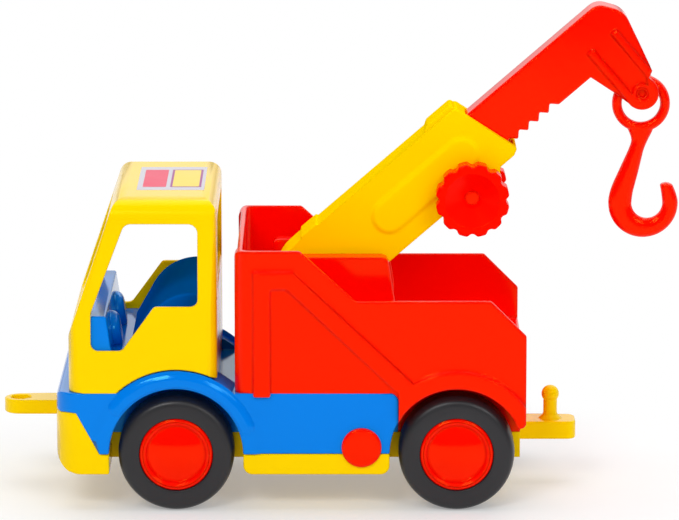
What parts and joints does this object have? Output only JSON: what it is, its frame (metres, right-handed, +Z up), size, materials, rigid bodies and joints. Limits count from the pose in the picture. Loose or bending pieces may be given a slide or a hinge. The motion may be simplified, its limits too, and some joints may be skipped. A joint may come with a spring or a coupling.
{
  "type": "toy tow truck",
  "caption": "Toddler's moulded plastic tow truck: yellow cab and chassis, blue body, red bed, and a sliding boom with winding knobs and a swinging hook.",
  "frame": {"origin": "on the floor under the middle of the truck, tow tab and hook counted", "axes": "+X forward, +Y to the truck's left, +Z up"},
  "size_m": [0.3705, 0.14, 0.2673],
  "materials": {
    "yellow_plastic": "glossy moulded",
    "blue_plastic": "glossy moulded",
    "red_plastic": "glossy moulded",
    "black_tyre": "satin moulded",
    "axle_steel": "plain"
  },
  "bodies": {
    "truck": {"chassis": "yellow_plastic", "lower_body": "blue_plastic", "cab_shell": "yellow_plastic", "dashboard": "blue_plastic", "steering_discs": "blue_plastic", "seat_bench": "blue_plastic", "bed": "red_plastic", "boom_pedestal": "red_plastic", "boom_pin": "red_plastic", "side_button_left": "red_plastic", "side_button_right": "red_plastic"},
    "front_wheels": {"axle_front": "axle_steel", "tyre_front_left": "black_tyre", "rim_front_left": "red_plastic", "tyre_front_right": "black_tyre", "rim_front_right": "red_plastic"},
    "rear_wheels": {"axle_rear": "axle_steel", "tyre_rear_left": "black_tyre", "rim_rear_left": "red_plastic", "tyre_rear_right": "black_tyre", "rim_rear_right": "red_plastic"},
    "boom": {"boom_sleeve_left": "yellow_plastic", "boom_sleeve_right": "yellow_plastic"},
    "winder": {"pinion": "red_plastic", "knob_left": "red_plastic", "knob_right": "red_plastic"},
    "arm": {"boom_arm": "red_plastic", "hook_pin": "red_plastic"},
    "hook": {"hook": "red_plastic"}
  },
  "joints": [
    {"name": "front_wheels_roll", "type": "hinge", "parent": "truck", "child": "front_wheels", "pos_m": [0.0885, 0, 0.0314], "axis": [0, 1, 0], "continuous": true},
    {"name": "rear_wheels_roll", "type": "hinge", "parent": "truck", "child": "rear_wheels", "pos_m": [-0.063, 0, 0.0314], "axis": [0, 1, 0], "continuous": true},
    {"name": "boom_lift", "type": "hinge", "parent": "truck", "child": "boom", "pos_m": [0.0141, 0, 0.1185], "axis": [0, 1, 0], "range_deg": [-15, 15]},
    {"name": "arm_slide", "type": "slide", "parent": "boom", "child": "arm", "axis": [-0.7559, 0, 0.6547], "range_m": [-0.046, 0.026]},
    {"name": "winder_turn", "type": "hinge", "parent": "boom", "child": "winder", "pos_m": [-0.07192, 0, 0.16338], "axis": [0, -1, 0], "range_deg": [-326, 185]},
    {"name": "hook_swing", "type": "hinge", "parent": "arm", "child": "hook", "pos_m": [-0.16433, 0, 0.21935], "axis": [0, 1, 0], "range_deg": [-30, 30]}
  ],
  "couplings": [
    {"joint": "winder_turn", "follows": "arm_slide", "rad_per_m": 123.3}
  ]
}
